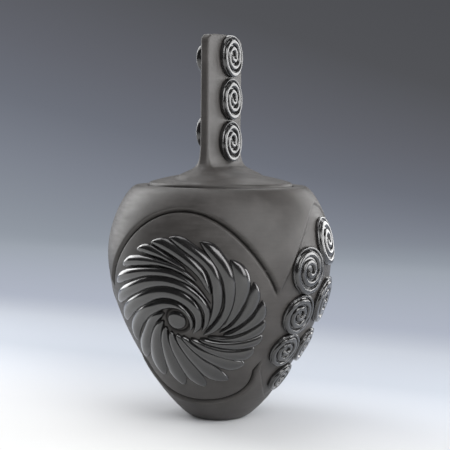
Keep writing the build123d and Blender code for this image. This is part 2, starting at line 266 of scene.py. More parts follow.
def node(tree, kind, settings=None, inputs=None):
    """Add one shader node, with its settings, and with its inputs given by socket name as a value,
    a socket to link, or a node whose first socket is linked."""
    made = tree.nodes.new("ShaderNode" + kind)
    for key, value in (settings or {}).items():
        setattr(made, key, value)
    for key, value in (inputs or {}).items():
        if isinstance(value, bpy.types.Node):
            value = value.outputs[0]
        if isinstance(value, bpy.types.NodeSocket):
            tree.links.new(value, made.inputs[key])
        else:
            made.inputs[key].default_value = value
    return made


def empty_material(name):
    """A new material whose node tree holds only what is added to it."""
    material = bpy.data.materials.new(name)
    material.use_nodes = True
    material.node_tree.nodes.clear()
    return material


# %% The satin wall clay
def smoked_clay(name, dark, light, rough_low, rough_high, specular, grain_depth):
    """Matte to satin smoked clay: cloudy colour, wiped streaks, fine grit and painted shade in
    hollows.
    """
    material = empty_material(name)
    tree = material.node_tree
    place = node(tree, "TexCoord").outputs["Object"]
    # Clouds 30 mm across from uneven smoke, in turns per metre
    clouds = node(tree, "TexNoise", None,
                  {"Vector": place, "Scale": 1 / 0.030, "Detail": 4.0, "Roughness": 0.6})
    # Wiping strokes: 2 mm tall and eight times as long round the jar
    stretched = node(tree, "Mapping", None, {"Vector": place, "Scale": (1, 1, 8)})
    strokes = node(tree, "TexNoise", None,
                   {"Vector": stretched, "Scale": 1 / 0.016, "Detail": 5.0, "Roughness": 0.55})
    # Grit just under a millimetre, the coarsest the scraping leaves
    grit = node(tree, "TexNoise", None, {"Vector": place, "Scale": 1 / 0.0009, "Detail": 2.0})
    mixed = node(tree, "Math", {"operation": "MULTIPLY_ADD"}, {0: strokes, 1: 0.45, 2: clouds})
    colour = node(tree, "MapRange", None, {"Value": mixed, "From Min": 0.5, "From Max": 0.95})
    tint = node(tree, "Mix", {"data_type": "RGBA"}, {0: colour, 6: linear(dark), 7: linear(light)})
    # Painted shade: hollows such as the carved grooves, where pointiness falls under one half, are
    # darkened and their sheen is lowered
    hollow = node(tree, "NewGeometry").outputs["Pointiness"]
    groove_shade_factor = node(tree, "MapRange", None,
                 {"Value": hollow, "From Min": 0.44, "From Max": 0.495, "To Min": 0.3})
    groove_shaded_tint = node(tree, "Mix", {"data_type": "RGBA", "blend_type": "MULTIPLY"},
                 {0: 1.0, 6: tint.outputs[2], 7: groove_shade_factor})
    sheen = node(tree, "Math", {"operation": "MULTIPLY"}, {0: groove_shade_factor, 1: specular})
    rough = node(tree, "MapRange", None, {"Value": strokes, "From Min": 0.3, "From Max": 0.7,
                                          "To Min": rough_low, "To Max": rough_high})
    bump = node(tree, "Bump", None,
                {"Height": grit, "Strength": 0.25, "Distance": grain_depth * MM})
    shader = node(tree, "BsdfPrincipled", None,
                  {"Base Color": groove_shaded_tint.outputs[2], "Roughness": rough, "IOR": 1.5,
                   "Specular IOR Level": sheen, "Normal": bump})
    node(tree, "OutputMaterial", None, {"Surface": shader})
    return material


# %% The burnished clay
def burnished_clay(name, dark, light, rough_low, rough_high, coat):
    """Stone-polished smoked clay: near black and glossy, with the polishing stone's facets."""
    material = empty_material(name)
    tree = material.node_tree
    place = node(tree, "TexCoord").outputs["Object"]
    # Patches about 12 mm across, where the stone rubbed more and less
    clouds = node(tree, "TexNoise", None,
                  {"Vector": place, "Scale": 1 / 0.012, "Detail": 3.0, "Roughness": 0.55})
    # Polishing facets of about 4 mm that the stone leaves
    facets = node(tree, "TexNoise", None, {"Vector": place, "Scale": 1 / 0.004, "Detail": 2.0})
    tint = node(tree, "Mix", {"data_type": "RGBA"}, {0: clouds, 6: linear(dark), 7: linear(light)})
    rough = node(tree, "MapRange", None, {"Value": clouds, "From Min": 0.3, "From Max": 0.7,
                                          "To Min": rough_low, "To Max": rough_high})
    bump = node(tree, "Bump", None, {"Height": facets, "Strength": 0.2, "Distance": 0.12 * MM})
    shader = node(tree, "BsdfPrincipled", None,
                  {"Base Color": tint.outputs[2], "Roughness": rough, "IOR": 1.5,
                   "Specular IOR Level": 0.6, "Coat Weight": coat, "Coat Roughness": 0.12,
                   "Normal": bump})
    node(tree, "OutputMaterial", None, {"Surface": shader})
    return material


satin = smoked_clay("satin smoked clay", "#2f2c2a", "#454240", 0.42, 0.56, 0.5, 0.10)
inner = smoked_clay("scraped smoked clay", "#282523", "#3a3633", 0.70, 0.85, 0.4, 0.25)
polished = burnished_clay("burnished smoked clay", "#141313", "#232222", 0.16, 0.26, 0.70)
print("finishes", satin.name, "/", inner.name, "/", polished.name)

# %% [markdown]
# ## The wall and its sunken fields
#
# The carver outlines a round field on the front and back and a tall one on each side, cuts along
# the outline and scrapes the clay inside it down by under two millimetres. At the waist the
# fields run into each other, so the clay between them is left as points above and below. The
# round fields' outline is cut deeper, and so is a ring round each boss. Cutting a solid with
# another would leave hard edges. Here the wall is a grid, azimuth by run, in two pieces that
# meet at the belly, and each point is lowered by how far inside a field's outline it lies.

# %% Field outlines, as seen square on from the front and from the side
def outline_curve(parts, count=160):
    """Half a field's outline: half widths and heights in millimetres, from its top to its foot."""
    curves = []
    for shares in parts:
        corners = [(across * BELLY_RADIUS, up * JAR_HEIGHT) for across, up in shares]
        curves.append(bezier(corners, count))
    return np.vstack(curves)


medallion = outline_curve([
    [(0.0, 0.925), (0.40, 0.925), (0.70, 0.73), (0.753, 0.607)],
    [(0.753, 0.607), (0.81, 0.50), (0.67, 0.34), (0.507, 0.25)],
    [(0.507, 0.25), (0.437, 0.135), (0.22, 0.098), (0.0, 0.098)],
])
side_panel = outline_curve([
    [(0.0, 0.937), (0.278, 0.925), (0.547, 0.742), (0.622, 0.605)],
    [(0.622, 0.605), (0.66, 0.50), (0.537, 0.34), (0.434, 0.25)],
    [(0.434, 0.25), (0.318, 0.183), (0.14, 0.094), (0.0, 0.094)],
])


# %% How deep the wall is carved at each point
def smooth_step(x):
    """0 below 0, 1 above 1, and 3x^2 - 2x^3 between."""
    x = np.clip(x, 0.0, 1.0)
    return x * x * (3 - 2 * x)


# The distance given to points that don't face a field
FAR_OFF = 60.0


def inside_field(outline, across, height, facing, points):
    """Signed distance in millimetres from a field's outline, positive inside it."""
    order = outline[:, 1].argsort()
    half = np.interp(height, outline[order, 1], outline[order, 0], left=-1.0, right=-1.0)
    inside = facing & (np.abs(across) < half)
    radius = np.interp(outline[:, 1], line[:, 1], line[:, 0])
    depth = np.sqrt(np.maximum(radius ** 2 - outline[:, 0] ** 2, 0.0))
    border = np.stack([outline[:, 0], depth, outline[:, 1]], -1)
    here = np.stack([np.abs(across), np.sqrt(np.maximum(
        (points[:, 0] ** 2 + points[:, 1] ** 2) - across ** 2, 0.0)), height], -1)
    distance = np.empty(len(points))
    for start in range(0, len(points), CHUNK):
        part = slice(start, start + CHUNK)
        gap = ((here[part, None, :] - border[None, :, :]) ** 2).sum(-1)
        distance[part] = np.sqrt(gap.min(1))
    distance[~facing] = FAR_OFF
    return np.where(inside, distance, -distance)


# A field's floor, and the slope down to it: where it starts outside the outline, and its width
FIELD_DEPTH = 1.5
SLOPE_START, SLOPE_WIDTH = 0.6, 2.4
# The groove inside a medallion's outline, and where it fades out beside a side panel
BORDER_CUT, BORDER_INSET, BORDER_WIDTH = 2.8, 1.4, 1.4
FADE_START, FADE_WIDTH = 4.0, 6.0
# The ring groove round each boss, and the middle of the front whirl
RING_CUT, RING_RADIUS, RING_WIDTH = 2.6, 10.8, 1.2
WHIRL_RUN = 0.5125 * WALL_LENGTH
WHIRL_AZIMUTH = math.radians(-2.0)


def carving(points):
    """Depth of the carving in millimetres: a soft step down at the outlines, and grooves whose
    depth falls off as exp(-(distance from the groove's middle / width)^2)."""
    flat = points.reshape(-1, 3)
    x, y, z = flat.T
    front = inside_field(medallion, x, z, np.abs(y) > 0.5 * np.abs(x), flat)
    side = inside_field(side_panel, y, z, np.abs(x) > 0.5 * np.abs(y), flat)
    inside = np.maximum(front, side)
    # Only the medallion's outline is cut deeper, and only where no other field runs into it
    cut = (BORDER_CUT * np.exp(-((front - BORDER_INSET) / BORDER_WIDTH) ** 2)
           * (1 - smooth_step((side + FADE_START) / FADE_WIDTH)))
    for turn in (0.0, math.pi):
        hub = on_wall(WHIRL_AZIMUTH + turn, WHIRL_RUN, 0.0)
        from_ring = np.linalg.norm(flat - hub, axis=-1) - RING_RADIUS
        cut = cut + RING_CUT * np.exp(-(from_ring / RING_WIDTH) ** 2)
    depth = FIELD_DEPTH * smooth_step((inside + SLOPE_START) / SLOPE_WIDTH) + cut
    return depth.reshape(points.shape[:-1])


# %% The carved outside as a grid, azimuth by run
COLUMNS = 560
BELLY_RUN = float(line_run[len(line_run) // 2])
azimuths = np.linspace(0, 2 * np.pi, COLUMNS, endpoint=False)


def carved_outside(runs):
    """Points of the wall's outside in rows at the given runs, each lowered by its carving."""
    plain = on_wall(azimuths[None, :], runs[:, None], np.zeros((len(runs), 1)))
    depths = carving(plain)
    print(len(runs), "rows, carved down to", round(float(depths.max()), 2), "mm")
    return on_wall(azimuths[None, :], runs[:, None], -depths)


# %% The foot, the rim and the smooth inside as turned profiles
BORE_RADIUS = 64.9
RIM_ROUND = 1.0
CAVITY_POINTS = 12
edge = np.linspace(0, np.pi / 2, 4)
cavity = wall_curve(-WALL_THICKNESS, CAVITY_POINTS)
rim_profile = np.vstack([
    np.stack([BORE_RADIUS + RIM_ROUND * (1 - np.sin(edge)),
              JAR_HEIGHT - RIM_ROUND * (1 - np.cos(edge))], -1),
    [(BORE_RADIUS, JAR_HEIGHT - WALL_THICKNESS)],
])
shoulder_inside = cavity[CAVITY_POINTS - 1:][::-1]
lower_inside = np.vstack([cavity[:CAVITY_POINTS][::-1],
                          [(12.0, WALL_THICKNESS), (0.0, WALL_THICKNESS)]])
# The foot is hollowed by 1.2 mm inside its standing ring
foot_profile = np.array([(0.0, 1.2), (5.0, 1.17), (10.0, 0.8), (14.0, 0.22), (16.0, 0.0),
                         (19.5, 0.0)])


def turned(profile):
    """A profile of radius and height carried round the axis, in the wall's columns."""
    radius, height = profile[:, 0, None], profile[:, 1, None]
    return np.stack([radius * np.sin(azimuths), -radius * np.cos(azimuths),
                     np.broadcast_to(height, (len(profile), COLUMNS))], -1)


# %% The wall in two pieces that meet at the belly
def wall_piece(name, parts, first_inner_row, nodes):
    """A wall piece from its rows, with the scraped finish from the given row on."""
    points, faces = closed_grid(np.concatenate(parts, 0))
    rows_inside = np.arange(len(faces)) // COLUMNS >= first_inner_row
    return clay_piece(name, [(points, faces)], [satin, inner], "jar", nodes,
                      rows_inside)


# Rows lie closer where the wall bends fast, just above the foot and at the rim
FOOT_RUN = 12.0
FOOT_ROWS, LOWER_ROWS, UPPER_ROWS = 7, 150, 118
BEFORE_RIM = np.array([2.0, 1.2, 0.5, 0.0])
low_runs = np.concatenate([np.linspace(0, FOOT_RUN, FOOT_ROWS)[:-1],
                           np.linspace(FOOT_RUN, BELLY_RUN, LOWER_ROWS)])
high_runs = np.concatenate([np.linspace(BELLY_RUN, WALL_LENGTH - BEFORE_RIM[0], UPPER_ROWS),
                            WALL_LENGTH - BEFORE_RIM[1:]])
low_outside = carved_outside(low_runs)
high_outside = carved_outside(high_runs)
lower_wall = wall_piece("carved_lower_wall",
                        [turned(foot_profile), low_outside, turned(lower_inside)],
                        len(foot_profile) + len(low_runs) - 1, ["jar_base", "jar_lower_wall"])
shoulder_wall = wall_piece("carved_shoulder",
                           [high_outside, turned(rim_profile), turned(shoulder_inside),
                            high_outside[:1]],
                           len(high_runs) + 2, ["jar_shoulder"])

# %% The same normals on both sides of the belly line
# The step up the wall that the normals come from, and how close points lie to the line
SEAM_STEP = 0.8
SEAM_BAND, SEAM_SHELL, SAME_POINT = 1.5, 4.0, 0.01
below, seam_row, above = carved_outside(BELLY_RUN + np.array([-SEAM_STEP, 0.0, SEAM_STEP]))
round_step = np.roll(seam_row, -1, 0) - np.roll(seam_row, 1, 0)
seam_normals = np.cross(round_step, above - below)
seam_normals /= np.linalg.norm(seam_normals, axis=1, keepdims=True)


def match_seam(piece):
    """Give a wall piece the seam's normals, each the step round the jar crossed with the step up
    the wall, so that no line shows where the two pieces meet."""
    points = np.empty(len(piece.data.vertices) * 3)
    piece.data.vertices.foreach_get("co", points)
    points = points.reshape(-1, 3) / MM
    on_seam = ((np.abs(points[:, 2] - BELLY_HEIGHT) < SEAM_BAND)
               & (np.hypot(points[:, 0], points[:, 1]) > BELLY_RADIUS - SEAM_SHELL))
    turns = np.arctan2(points[:, 0], -points[:, 1]) / (2 * np.pi) * COLUMNS
    column = np.round(turns).astype(int) % COLUMNS
    on_seam &= np.linalg.norm(points - seam_row[column], axis=1) < SAME_POINT
    chosen = np.where(on_seam[:, None], seam_normals[column], 0.0)
    piece.data.normals_split_custom_set_from_vertices(chosen.tolist())
    print(piece.name, int(on_seam.sum()), "seam normals matched")


match_seam(lower_wall)
match_seam(shoulder_wall)

# %% [markdown]
# ## The whirl of ribs
#
# Twenty-one ribs swirl out from a round boss. On the real jar each is a long bead of clay, round
# on its back, that starts thin, sweeps round and swells to a club-shaped tip, and each meets the
# next in a narrow dark groove. Blender's bevelled curves make such beads, but round all the way
# through and free of the wall. A rib is therefore a rounded profile carried along a curved path
# on the wall, and the path and width come from a few knots laid out by angle and distance from
# the boss.

# %% The ribs' knots and shape
# The whirl's reach, the field floor's level against the wall's line, how deep ribs are rooted in
# it, and how high a wide rib stands on it
WHIRL_RADIUS = 72.0
FLOOR_LIFT = -1.8
ROOT_DEPTH = 0.4
ROOT_LIFT = FLOOR_LIFT - ROOT_DEPTH
RIB_RISE = 4.1
# How much wider ribs are than their knots say, the power of their arch, the length of the round
# tip in widths and of the round start in shares of the rib, and how far each tip leans
RIB_FILL, RIB_ARCH = 1.24, 1.8
TIP_LENGTH, START_SHARE = 1.25, 0.10
TIP_LEANS = [0.2] * 6 + [0.85] * 15
RIB_ROWS = 100
# Each rib from the boss outwards: angle in degrees, distance and width in hundredths of the reach
RIB_KNOTS = [
    [(150, 18, 6), (178, 29, 11), (203, 49, 13), (214, 68, 17), (222, 91, 15)],
    [(184, 18, 6), (207, 31, 11), (225, 52, 17), (236, 73, 20), (245, 93, 17)],
    [(210, 18, 6), (232, 33, 10), (248, 54, 15), (257, 75, 19), (263, 97, 17)],
    [(236, 18, 6), (255, 35, 11), (267, 56, 15), (274, 77, 18), (279, 98, 17)],
    [(261, 18, 6), (276, 35, 10), (286, 59, 15), (292, 80, 20), (298, 97, 17)],
    [(281, 20, 5), (294, 38, 9), (304, 60, 15), (311, 78, 18), (320, 93, 15)],
    [(301, 26, 5), (311, 46, 9), (319, 67, 13), (326, 82, 15), (335, 97, 13)],
    [(317, 33, 5), (326, 52, 8), (335, 74, 11), (341, 88, 11), (347, 103, 11)],
    [(330, 39, 4), (338, 58, 6), (346, 79, 11), (352, 92, 12), (359, 107, 11)],
    [(342, 55, 3), (349, 67, 7), (357, 83, 11), (363, 96, 13), (372, 111, 12)],
    [(344, 50, 2), (353, 60, 5), (361, 72, 9), (372, 90, 13), (385, 110, 12)],
    [(350, 50, 3), (362, 61, 7), (375, 75, 11), (388, 91, 17), (406, 106, 15)],
    [(330, 34, 4), (350, 44, 8), (373, 62, 9), (397, 82, 14), (430, 104, 13)],
    [(348, 35, 4), (362, 41, 6), (381, 53, 10), (410, 75, 12), (452, 102, 12)],
    [(398, 56, 4), (420, 67, 10), (440, 77, 12), (455, 88, 13), (467, 100, 12)],
    [(436, 64, 3), (447, 69, 5), (460, 78, 8), (470, 87, 11), (481, 100, 11)],
    [(420, 57, 3), (440, 62, 6), (462, 69.5, 7), (480, 80, 11), (500, 102, 12)],
    [(388, 49, 2), (420, 51, 5), (450, 56, 9), (480, 66, 10), (502, 83, 13), (516, 105, 12)],
    [(336, 31, 4), (354, 34.5, 6), (380, 40, 8), (420, 43, 9), (455, 47, 11), (485, 55, 13),
     (510, 70, 15), (530, 103, 15)],
    [(318, 23.5, 5), (345, 25.5, 8), (380, 28, 10), (420, 30, 13), (455, 33.5, 13),
     (485, 39.5, 13), (510, 49, 15), (528, 66, 16), (543, 94, 16)],
    [(318, 19, 4), (345, 18.5, 5), (371, 18, 5), (392, 17.8, 5), (420, 18.7, 6), (455, 20.5, 9),
     (485, 24, 11), (510, 30, 13), (530, 43, 15), (547, 61, 16), (563, 86, 15)],
]


# %% A smooth line through knots, and a rounded back
def smooth_line(knots, count):
    """A curve through knots by cubic pieces, each timed by the distance between its knots. The
    slope at a knot is the mean of the chords beside it, the shorter one counting for more."""
    knots = np.asarray(knots, float)
    time = run_length(knots[:, :2])
    slope = np.gradient(knots, time, axis=0)
    at = np.linspace(0, time[-1], count)
    piece = np.clip(np.searchsorted(time, at, "right") - 1, 0, len(knots) - 2)
    span = (time[piece + 1] - time[piece])[:, None]
    t = ((at - time[piece])[:, None]) / span
    return ((2 * t ** 3 - 3 * t ** 2 + 1) * knots[piece]
            + (t ** 3 - 2 * t ** 2 + t) * span * slope[piece]
            + (-2 * t ** 3 + 3 * t ** 2) * knots[piece + 1]
            + (t ** 3 - t ** 2) * span * slope[piece + 1])


def rounded_back(count, power):
    """Across and up of a low arch from -1 to 1: |x|^power + y^power = 1, with points set close
    together at the sides, where it drops steeply."""
    angle = np.linspace(0, np.pi, count)
    across = -np.sign(np.cos(angle)) * np.abs(np.cos(angle)) ** (2 / power)
    return across, np.sin(angle) ** (2 / power)


# %% One rib and the boss
def rib_rows(knots):
    """A rib's path and width in rows, the distance travelled at each, and the whole length. Rows
    lie close together at the tip and at the start, where the shape changes fast."""
    angle, share, width_share = np.array(knots, float).T / [[1], [100], [100]]
    path = np.stack([share * WHIRL_RADIUS * np.cos(np.radians(angle)),
                     share * WHIRL_RADIUS * np.sin(np.radians(angle)),
                     width_share * WHIRL_RADIUS * RIB_FILL], -1)
    curve = smooth_line(path, 400)
    travelled = run_length(curve[:, :2])
    even = np.linspace(-1, 1, RIB_ROWS)
    placed = (even + np.sin(np.pi * even) / np.pi * 0.9 + 1) / 2 * travelled[-1]
    curve = np.stack([np.interp(placed, travelled, column) for column in curve.T], -1)
    return curve, placed, travelled[-1]


def whirl_rib(knots, lean, turn):
    """One rib as a closed grid: its path by its profile. Near the tip the half width follows a
    quarter circle down to nothing, and the path leans to the left by a share of what it loses."""
    curve, placed, length = rib_rows(knots)
    width = curve[:, 2]
    tip = width[-1] * TIP_LENGTH
    taper = np.sqrt(1 - np.clip(1 - (length - placed) / tip, 0, 1) ** 2)
    start = np.sqrt(1 - (1 - np.clip(placed / (START_SHARE * length), 0, 1)) ** 2)
    half = width / 2 * taper * start
    # A rib stands at full height where it is 5 mm wide or more, and at half height at its start
    rise = RIB_RISE * (0.5 + 0.5 * start) * np.minimum(1.0, 0.45 + width / 9.0) * taper ** 0.6
    heading = np.gradient(curve[:, :2], axis=0)
    heading /= np.linalg.norm(heading, axis=1, keepdims=True)
    side = np.stack([heading[:, 1], -heading[:, 0]], -1)
    middle = curve[:, :2] - side * (width / 2 * (1 - taper) * lean)[:, None]
    across, up = rounded_back(19, RIB_ARCH)
    flat = middle[:, None, :] + side[:, None, :] * (half[:, None] * across[None, :])[..., None]
    lift = ROOT_LIFT + (rise[:, None] + ROOT_DEPTH) * up[None, :]
    lift[0] = lift[-1] = ROOT_LIFT
    run = WHIRL_RUN + flat[..., 1]
    azimuth = WHIRL_AZIMUTH + turn + flat[..., 0] / line_at(run)[0]
    return closed_grid(on_wall(azimuth, run, lift))


BOSS_RADIUS, BOSS_RISE, BOSS_COLUMNS = 8.6, 3.2, 64


def whirl_boss(turn):
    """A low round button: height over the floor is rise times (1 - share^4)^(1/2)."""
    share = np.sin(np.linspace(0, np.pi / 2, 16))[:, None]
    angle = np.linspace(0, 2 * np.pi, BOSS_COLUMNS, endpoint=False)[None, :]
    run = WHIRL_RUN + BOSS_RADIUS * share * np.sin(angle)
    azimuth = WHIRL_AZIMUTH + turn + BOSS_RADIUS * share * np.cos(angle) / line_at(run)[0]
    lift = ROOT_LIFT + (BOSS_RISE + ROOT_DEPTH) * np.sqrt(np.clip(1 - share ** 4, 0, 1))
    top = on_wall(azimuth, run, lift)
    under = on_wall(WHIRL_AZIMUTH + turn, WHIRL_RUN, np.full((1, BOSS_COLUMNS), ROOT_LIFT))
    return closed_grid(np.concatenate([top, under], 0))


# %% Both whirls
for side_name, turn in (("front", 0.0), ("back", math.pi)):
    ribs = [whirl_rib(knots, lean, turn) for knots, lean in zip(RIB_KNOTS, TIP_LEANS)]
    clay_piece(f"{side_name}_whirl", ribs + [whirl_boss(turn)], [polished], "jar",
               [f"{side_name}_swirl_ribs", f"{side_name}_swirl_boss"])

# %% [markdown]
# ## Coils of rolled clay
#
# The side panels and the handle carry coils: a rolled strip wound up like a snail, whose outer
# end is pressed flush with the last turn, so that the disc is round. The screw modifier winds a
# strip too, but of one width throughout. Each coil here is a strip with a rounded back carried
# along a spiral whose radius falls evenly with the angle, over a thin plate that closes the
# groove between the turns.

# %% One coil, laid flat
# Shares of the disc's diameter: from turn to turn, the groove, and the rim's radius
PITCH_SHARE, GROOVE_SHARE, RIM_SHARE = 0.172, 0.024, 0.515
# Height on the wall and on the handle, how deep a coil is rooted, and the power of its arch
COIL_RISE, COIL_RISE_HANDLE, COIL_ROOT, COIL_ARCH = 4.6, 5.6, 0.3, 3.2
# Turns from the strip's outer end to its full width, and its rows
OUTER_START, COIL_ROWS = -0.86, 230
# The plate's share of the coil's height, and its inset from the rim
PLATE_SHARE, PLATE_INSET, PLATE_COLUMNS = 0.60, 0.5, 96


def coil_strip(diameter, rise):
    """The wound strip in its own flat frame, as across, up and lift. Its inner edge lies at
    r = R - pitch (turns + 1) + groove and its outer edge at R - pitch turns, held to R in the
    first turn, where the strip widens from nothing, so the disc's outline is round."""
    pitch = PITCH_SHARE * diameter
    groove = GROOVE_SHARE * diameter
    full = pitch - groove
    radius = RIM_SHARE * diameter
    last = (radius - full * 0.75) / pitch
    turns = np.linspace(OUTER_START, last, COIL_ROWS)
    outer = radius - pitch * np.maximum(turns, 0)
    width = np.maximum(outer - (radius - pitch * (turns + 1) + groove), 0.0)
    # Both ends are rounded off along a quarter circle
    tail = np.clip((turns - turns[0]) / 0.05, 0, 1)
    core = np.clip((last - turns) * 2 * np.pi, 0, 1)
    width = width * np.sqrt(1 - (1 - tail) ** 2) * np.sqrt(1 - (1 - core) ** 2)
    width[0] = width[-1] = 0.0
    across, up = rounded_back(17, COIL_ARCH)
    distance = (outer - width / 2)[:, None] + 0.5 * width[:, None] * across[None, :]
    angle = (-np.pi / 2 - 2 * np.pi * turns)[:, None]
    # Where the strip is narrower it lies lower
    lowered = np.minimum(1.0, 0.55 + 0.45 * (width / full))[:, None]
    height = (rise + COIL_ROOT) * up[None, :] * lowered - COIL_ROOT
    height[0] = height[-1] = -COIL_ROOT
    return np.stack([distance * np.cos(angle), distance * np.sin(angle), height], -1)


def coil_plate(diameter, rise):
    """The thin round plate under the strip, a hair smaller than the strip's outline."""
    angle = -np.linspace(0, 2 * np.pi, PLATE_COLUMNS, endpoint=False)
    edge = RIM_SHARE * diameter - PLATE_INSET
    level = rise * PLATE_SHARE
    rows = []
    for share, height in ((0.0, level), (0.5, level), (1.0, level), (1.0, -COIL_ROOT),
                          (0.0, -COIL_ROOT)):
        rows.append(np.stack([share * edge * np.cos(angle), share * edge * np.sin(angle),
                              np.full(PLATE_COLUMNS, height)], -1))
    return np.stack(rows)


def coil_shapes(diameter, rise):
    """The two grids of a coil, laid flat."""
    return coil_strip(diameter, rise), coil_plate(diameter, rise)


# %% Coils on the side panels
DISC_DIAMETER = 42.0
# Azimuth in degrees, run as a share of the wall's, and size
PANEL_DISCS = [(90.0, 0.779, 1.00), (69.0, 0.684, 0.96), (66.5, 0.524, 0.85), (65.5, 0.380, 0.77),
               (92.0, 0.559, 0.98), (90.0, 0.378, 0.76), (79.5, 0.243, 0.66)]


def along_axes(origin, shape, *axes):
    """Points of a shape whose numbers are distances from an origin along the given directions."""
    for k, axis in enumerate(axes):
        origin = origin + shape[..., k, None] * axis
    return origin


def wall_coil(azimuth, run, shape):
    """A flat coil set on the wall: its plane touches the wall at the coil's middle, and each of
    its points is dropped from that plane onto the wall, keeping its lift."""
    d_radius, d_height = wall_at(run)[2:]
    across = np.array([math.cos(azimuth), math.sin(azimuth), 0.0])
    upward = np.array([d_radius * math.sin(azimuth), -d_radius * math.cos(azimuth), d_height])
    plane = along_axes(on_wall(azimuth, run, 0.0), shape, across, upward)
    return closed_grid(settle(plane, shape[..., 2] + FLOOR_LIFT))


for side_name, turn in (("right", 0.0), ("left", math.pi)):
    grids = []
    for azimuth, share, size in PANEL_DISCS:
        for shape in coil_shapes(size * DISC_DIAMETER, COIL_RISE):
            grids.append(wall_coil(math.radians(azimuth) + turn, share * WALL_LENGTH, shape))
    clay_piece(f"{side_name}_coils", grids, [polished], "jar",
               [f"{side_name}_spiral_{n}" for n in range(1, 8)])

# %% [markdown]
# ## The lid and its slab handle
#
# The lid is a shallow dome with a tall flat slab luted upright on it. The joint is filled and
# smoothed by hand, so the slab spreads into the dome in one soft curve. A bevel between two
# solids would have one radius all round, and the hand-made joint hasn't. One grid makes both:
# its columns run down the slab from a narrow outline, then outwards to the lid's round edge, and
# the height there is the smooth larger of two curves, the dome's and the spreading foot's.

# %% The lid's sizes and outline curves
SEAT_LEVEL = 204.0
LID_RADIUS = 64.0
LID_RISE = 16.5
CAP_TOP = SEAT_LEVEL + LID_RISE
HANDLE_TOP = 340.0
HALF_WIDTH = 32.5
HALF_THICK = 4.0
SLAB_CORNER = 2.4
# The slab less its rounded corners, across and along
SLAB_CORE = np.array([HALF_THICK - SLAB_CORNER, HALF_WIDTH - SLAB_CORNER])
# The lid sits turned in its seat, so the slab has directions of its own
LID_TURN = math.radians(-7.0)
FACE_OUT = np.array([math.cos(LID_TURN), math.sin(LID_TURN), 0.0])
WIDTH_BACK = np.array([-math.sin(LID_TURN), math.cos(LID_TURN), 0.0])
UP = np.array([0.0, 0.0, 1.0])

dome = bezier([(LID_RADIUS, SEAT_LEVEL + 6.0), (0.78 * LID_RADIUS, SEAT_LEVEL + 0.655 * LID_RISE),
               (0.31 * LID_RADIUS, CAP_TOP), (0.0, CAP_TOP)], 200)[::-1]
# The slab's foot: how far it has spread, and the level where it has
flare_spread = np.array([0.0, 0.6, 1.3, 2.6, 4.8, 8.0, 12.0, 18.7, 26.0, 90.0])
flare_height = np.array([242.0, 234.6, 230.4, 227.1, 224.2, 222.1, 220.3, 217.0, 210.0, 160.0])


def slab_outline(count):
    """A rounded rectangle about the slab's middle line, with each point's outward direction.
    The corners get half of the points."""
    quarter = count // 4
    corners = SLAB_CORE * np.array([(1, 1), (-1, 1), (-1, -1), (1, -1)])
    points = []
    outward = []
    for k in range(4):
        angle = np.pi * (0.5 * k + np.linspace(0, 0.5, quarter // 2))
        turn = np.stack([np.cos(angle), np.sin(angle)], -1)
        points.append(corners[k] + SLAB_CORNER * turn)
        outward.append(turn)
        # The straight run to the next corner
        target = corners[(k + 1) % 4] + SLAB_CORNER * turn[-1]
        share = np.linspace(0, 1, quarter - quarter // 2 + 2)[1:-1, None]
        points.append(points[-1][-1] * (1 - share) + target * share)
        outward.append(np.repeat(turn[-1:], len(share), 0))
    return np.vstack(points), np.vstack(outward)


# %% Heights on the slab and on the dome
# How far the slab's top falls from its crown, and the radius of its upper corners
TOP_FALL, TOP_CORNER = 2.5, 6.0
# The smoothing where slab and dome meet, and what comes off for the height that this adds
JOINT_BLEND, JOINT_TRIM = 1.4, 0.12


def slab_top(width_place):
    """Height of the slab's top edge: a low crown, rounded off at the two upper corners."""
    crown = HANDLE_TOP - TOP_FALL * (width_place / HALF_WIDTH) ** 2
    # The rounding ends just before it stands upright
    past = np.clip(np.abs(width_place) - (HALF_WIDTH - TOP_CORNER), 0, TOP_CORNER - 0.1)
    return crown - (TOP_CORNER - np.sqrt(TOP_CORNER ** 2 - past ** 2))


def lid_height(spread, distance):
    """Smooth larger of the flare's and the dome's height, h = (a + b + sqrt((a - b)^2 + k^2)) / 2,
    less the trim."""
    a = np.interp(spread, flare_spread, flare_height)
    b = np.interp(distance, dome[:, 0], dome[:, 1])
    return (a + b + np.sqrt((a - b) ** 2 + JOINT_BLEND ** 2)) / 2 - JOINT_TRIM


# %% The slab's rows, from its middle line over the rounded top edge and down to the joint
TOP_ROUND = 1.6
outline, outward = slab_outline(208)
reach = HALF_WIDTH - HALF_THICK
middle_line = np.stack([np.zeros(len(outline)), np.clip(outline[:, 1], -reach, reach)], -1)
rows = []
for share in (0.0, 0.35):
    flat = middle_line + share * (outline - middle_line)
    rows.append(np.column_stack([flat, slab_top(flat[:, 1])]))
for turn in np.linspace(0, np.pi / 2, 6):
    flat = outline - outward * (TOP_ROUND * (1 - math.sin(turn)))
    drop = TOP_ROUND * (1 - math.cos(turn))
    rows.append(np.column_stack([flat, slab_top(flat[:, 1]) - drop]))
top_edge = rows[-1][:, 2]
for share in np.linspace(0, 1, 26)[1:]:
    rows.append(np.column_stack([outline, top_edge + share * (flare_height[0] - top_edge)]))
print("slab", len(rows), "rows of", len(outline))

# %% The dome's rows, outwards from the slab to the lid's edge
EDGE_INSET, STRAIGHT_REACH = 1.6, 24.0
# The slab is long and thin, so its points are spread out before they share the round edge
edge_angle = np.arctan2(outline[:, 1] / 1.35, outline[:, 0] * 1.6)
edge_direction = np.stack([np.cos(edge_angle), np.sin(edge_angle)], -1)
# Rows lie closer together near the slab
blend = np.linspace(0, 1, 46)[1:, None, None] ** 1.7
rim = edge_direction * (LID_RADIUS - EDGE_INSET)
